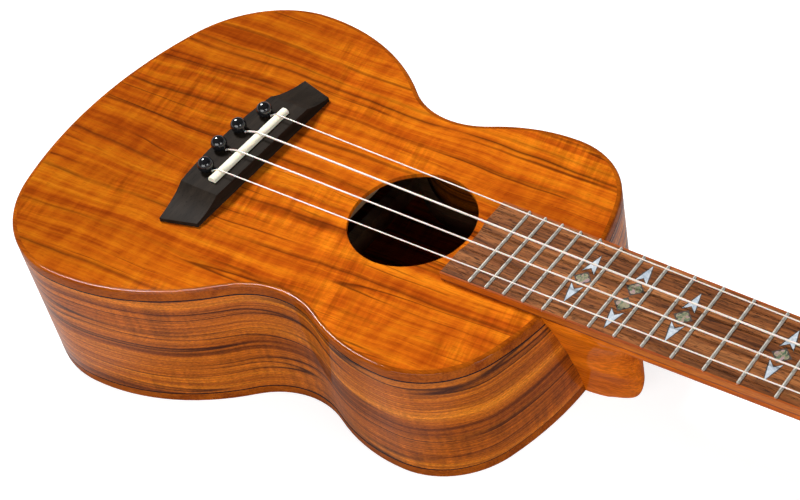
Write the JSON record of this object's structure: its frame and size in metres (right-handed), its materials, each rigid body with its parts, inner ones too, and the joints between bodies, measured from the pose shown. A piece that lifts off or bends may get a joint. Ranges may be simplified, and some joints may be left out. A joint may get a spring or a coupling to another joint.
{
  "type": "ukulele",
  "caption": "Concert ukulele: figured koa body with round soundhole, pin bridge, fretted neck with pearl inlays, geared tuners and nylon strings.",
  "frame": {"origin": "on the back's underside, on the centreline, below the saddle end of the scale line", "axes": "+X along the centreline from the tail to the headstock, +Y to the bass side, +Z from the back up to the soundboard"},
  "size_m": [0.6236, 0.199, 0.0846],
  "materials": {
    "abalone": "abalone shell, gloss",
    "binding_wood": "gloss lacquered light wood binding",
    "board_binding_wood": "gloss lacquered reddish wood",
    "board_wood": "rosewood, open pores, satin",
    "bone": "bone, polished",
    "brass_metal": "plain brass",
    "chrome_metal": "chrome plated",
    "dark_wood": "dark rosewood, matt",
    "dot_white": "gloss white",
    "inner_wood": "bare spruce and mahogany, matt",
    "neck_wood": "gloss lacquered mahogany",
    "nickel_silver": "polished nickel silver",
    "pearl": "mother of pearl, gloss",
    "pin_black": "gloss black",
    "purfling_black": "dyed black wood, gloss",
    "side_wood": "gloss lacquered koa, darker lengthwise figure",
    "string_clear": "clear white fluorocarbon",
    "top_wood": "gloss lacquered koa, lengthwise dark streaks"
  },
  "bodies": {
    "frame": {"top_binding": "binding_wood", "top_purfling": "purfling_black", "back_binding": "binding_wood", "back_purfling": "purfling_black", "end_graft": "binding_wood", "side_bass": "side_wood", "side_treble": "side_wood", "neck_block": "inner_wood", "tail_block": "inner_wood", "top_lining": "inner_wood", "back_lining": "inner_wood", "soundboard": "top_wood", "back_plate": "side_wood", "bridge_plate": "inner_wood", "soundboard_braces": "inner_wood", "back_braces": "inner_wood", "back_seam_strip": "inner_wood", "bridge": "dark_wood", "saddle": "bone", "pearl_inlays": "pearl", "abalone_inlays": "abalone", "side_dots": "dot_white", "fretboard": "board_wood", "fretboard_binding": "board_binding_wood", "frets": "nickel_silver", "nut": "bone", "neck": "neck_wood", "headstock_faceplate": "side_wood", "tuner_plates": "chrome_metal", "tuner_bushings": "chrome_metal", "tuner_screws": "chrome_metal", "string_g": "string_clear", "string_c": "string_clear", "string_e": "string_clear", "string_a": "string_clear"},
    "pin_g": {"bridge_pin_g": "pin_black"},
    "pin_c": {"bridge_pin_c": "pin_black"},
    "pin_e": {"bridge_pin_e": "pin_black"},
    "pin_a": {"bridge_pin_a": "pin_black"},
    "post_g": {"tuner_post_g": "chrome_metal", "tuner_gear_g": "brass_metal", "string_winding_g": "string_clear"},
    "knob_g": {"tuner_worm_shaft_g": "chrome_metal", "tuner_button_g": "pin_black"},
    "post_c": {"tuner_post_c": "chrome_metal", "tuner_gear_c": "brass_metal", "string_winding_c": "string_clear"},
    "knob_c": {"tuner_worm_shaft_c": "chrome_metal", "tuner_button_c": "pin_black"},
    "post_e": {"tuner_post_e": "chrome_metal", "tuner_gear_e": "brass_metal", "string_winding_e": "string_clear"},
    "knob_e": {"tuner_worm_shaft_e": "chrome_metal", "tuner_button_e": "pin_black"},
    "post_a": {"tuner_post_a": "chrome_metal", "tuner_gear_a": "brass_metal", "string_winding_a": "string_clear"},
    "knob_a": {"tuner_worm_shaft_a": "chrome_metal", "tuner_button_a": "pin_black"}
  },
  "joints": [
    {"name": "pin_g_pull", "type": "slide", "parent": "frame", "child": "pin_g", "axis": [0.0419, 0, 0.9991], "range_m": [0, 0.022]},
    {"name": "pin_c_pull", "type": "slide", "parent": "frame", "child": "pin_c", "axis": [0.0419, 0, 0.9991], "range_m": [0, 0.022]},
    {"name": "pin_e_pull", "type": "slide", "parent": "frame", "child": "pin_e", "axis": [0.0419, 0, 0.9991], "range_m": [0, 0.022]},
    {"name": "pin_a_pull", "type": "slide", "parent": "frame", "child": "pin_a", "axis": [0.0419, 0, 0.9991], "range_m": [0, 0.022]},
    {"name": "post_g_turn", "type": "hinge", "parent": "frame", "child": "post_g", "pos_m": [0.42265, 0.017, 0.04896], "axis": [0.1633, 0, 0.9866], "continuous": true},
    {"name": "knob_g_turn", "type": "hinge", "parent": "frame", "child": "knob_g", "pos_m": [0.42848, 0.017, 0.03117], "axis": [0, 1, 0], "continuous": true},
    {"name": "post_c_turn", "type": "hinge", "parent": "frame", "child": "post_c", "pos_m": [0.47395, 0.0185, 0.04046], "axis": [0.1633, 0, 0.9866], "continuous": true},
    {"name": "knob_c_turn", "type": "hinge", "parent": "frame", "child": "knob_c", "pos_m": [0.47978, 0.0185, 0.02267], "axis": [0, 1, 0], "continuous": true},
    {"name": "post_e_turn", "type": "hinge", "parent": "frame", "child": "post_e", "pos_m": [0.47395, -0.0185, 0.04046], "axis": [0.1633, 0, 0.9866], "continuous": true},
    {"name": "knob_e_turn", "type": "hinge", "parent": "frame", "child": "knob_e", "pos_m": [0.47978, -0.0185, 0.02267], "axis": [0, 1, 0], "continuous": true},
    {"name": "post_a_turn", "type": "hinge", "parent": "frame", "child": "post_a", "pos_m": [0.42265, -0.017, 0.04896], "axis": [0.1633, 0, 0.9866], "continuous": true},
    {"name": "knob_a_turn", "type": "hinge", "parent": "frame", "child": "knob_a", "pos_m": [0.42848, -0.017, 0.03117], "axis": [0, 1, 0], "continuous": true}
  ],
  "couplings": [
    {"joint": "post_g_turn", "follows": "knob_g_turn", "ratio": -0.071429},
    {"joint": "post_c_turn", "follows": "knob_c_turn", "ratio": -0.071429},
    {"joint": "post_e_turn", "follows": "knob_e_turn", "ratio": 0.071429},
    {"joint": "post_a_turn", "follows": "knob_a_turn", "ratio": 0.071429}
  ]
}
